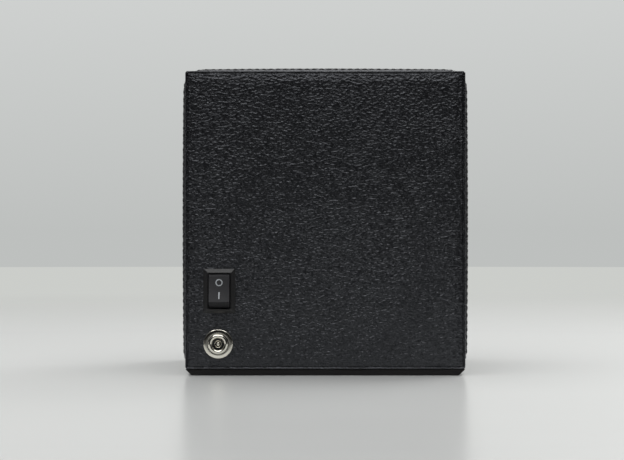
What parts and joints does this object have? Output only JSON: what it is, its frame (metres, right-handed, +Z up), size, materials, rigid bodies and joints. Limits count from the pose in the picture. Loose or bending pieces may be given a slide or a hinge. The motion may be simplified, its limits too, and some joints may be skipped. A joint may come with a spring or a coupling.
{
  "type": "watch winder box",
  "caption": "Leather-covered single-watch winder box with a hinged glazed door, a gear-driven drum holding a sprung watch pillow, and a rocker switch and round power socket on the rear.",
  "frame": {"origin": "middle of the underside of the base plate, on the surface the box stands on", "axes": "+Z up, -Y out of the glazed door, +Y out of the rear panel, +X to the right seen from the door side"},
  "size_m": [0.1368, 0.1557, 0.1458],
  "materials": {
    "leather": "pebble grain, low sheen",
    "fibreboard": "matt",
    "suede": "napped",
    "black_plastic": "fine satin",
    "white_plastic": "satin",
    "nickel": "plated, polished",
    "steel": "brushed",
    "brass": "satin",
    "glass": "clear, polished",
    "board": "solder mask",
    "capacitor": "sleeve",
    "cable": "smooth"
  },
  "bodies": {
    "case": {"carcass_shell": "fibreboard", "case_wrap": "leather", "rear_board": "fibreboard", "rear_cover": "leather", "side_panel_left": "leather", "side_panel_right": "leather", "top_panel": "leather", "base_plate": "black_plastic", "front_faceplate": "leather", "trim_ring": "nickel", "keeper_plate": "steel", "hinge_case_leaf_upper": "brass", "hinge_case_leaf_lower": "brass", "mount_plate": "steel", "mount_screw_1": "steel", "mount_screw_2": "steel", "mount_screw_3": "steel", "mount_screw_4": "steel", "shaft_bush": "brass", "gearbox_housing": "black_plastic", "motor_can": "steel", "motor_screw_1": "steel", "motor_screw_2": "steel", "idler_pin": "steel", "circuit_board": "board", "capacitor": "capacitor", "terminal_block": "board", "board_standoff_1": "white_plastic", "board_standoff_2": "white_plastic", "jack_cable": "cable", "switch_cable": "cable", "motor_cable": "cable", "switch_housing": "black_plastic", "jack_body": "nickel", "jack_nut": "nickel", "jack_pin": "nickel"},
    "door": {"door_frame": "leather", "door_glass": "glass", "door_pull": "nickel", "door_magnet": "steel", "hinge_door_leaf_upper": "brass", "hinge_door_leaf_lower": "brass", "hinge_pin_upper": "brass", "hinge_pin_lower": "brass"},
    "drum": {"drum_cup": "black_plastic", "drum_lining": "suede", "drum_gear": "white_plastic", "drum_shaft": "steel", "shaft_clip": "steel", "pillow_cradle": "black_plastic"},
    "idler": {"idler_gear": "white_plastic"},
    "motor_rotor": {"motor_pinion": "brass", "motor_shaft": "steel"},
    "rocker": {"rocker_button": "black_plastic"},
    "pillow": {"pillow_core": "black_plastic", "pillow_spring_left": "steel", "pillow_spring_right": "steel"},
    "pillow_front": {"pillow_slider": "black_plastic", "cushion": "suede"}
  },
  "joints": [
    {"name": "drum_spin", "type": "hinge", "parent": "case", "child": "drum", "pos_m": [0, 0, 0.0735], "axis": [0, 1, 0], "continuous": true},
    {"name": "idler_spin", "type": "hinge", "parent": "case", "child": "idler", "pos_m": [0.0263, 0, 0.0472], "axis": [0, 1, 0], "continuous": true},
    {"name": "motor_spin", "type": "hinge", "parent": "case", "child": "motor_rotor", "pos_m": [-0.00072, 0, 0.0316], "axis": [0, 1, 0], "continuous": true},
    {"name": "door_hinge", "type": "hinge", "parent": "case", "child": "door", "pos_m": [-0.0676, -0.0607, 0.0735], "axis": [0, 0, -1], "range_deg": [0, 110]},
    {"name": "switch_rock", "type": "hinge", "parent": "case", "child": "rocker", "pos_m": [0.0501, 0.072, 0.04], "axis": [-1, 0, 0], "range_deg": [0, 24]},
    {"name": "pillow_slide", "type": "slide", "parent": "drum", "child": "pillow", "axis": [0, -1, 0], "range_m": [0, 0.016]},
    {"name": "pillow_squeeze", "type": "slide", "parent": "pillow", "child": "pillow_front", "axis": [0, 1, 0], "range_m": [0, 0.006], "stiffness_N_per_m": 600, "springref_m": -0.004, "deforming": ["pillow_spring_left", "pillow_spring_right"]}
  ],
  "couplings": [
    {"joint": "idler_spin", "follows": "drum_spin", "ratio": -4.1667},
    {"joint": "motor_spin", "follows": "drum_spin", "ratio": 13.889}
  ]
}
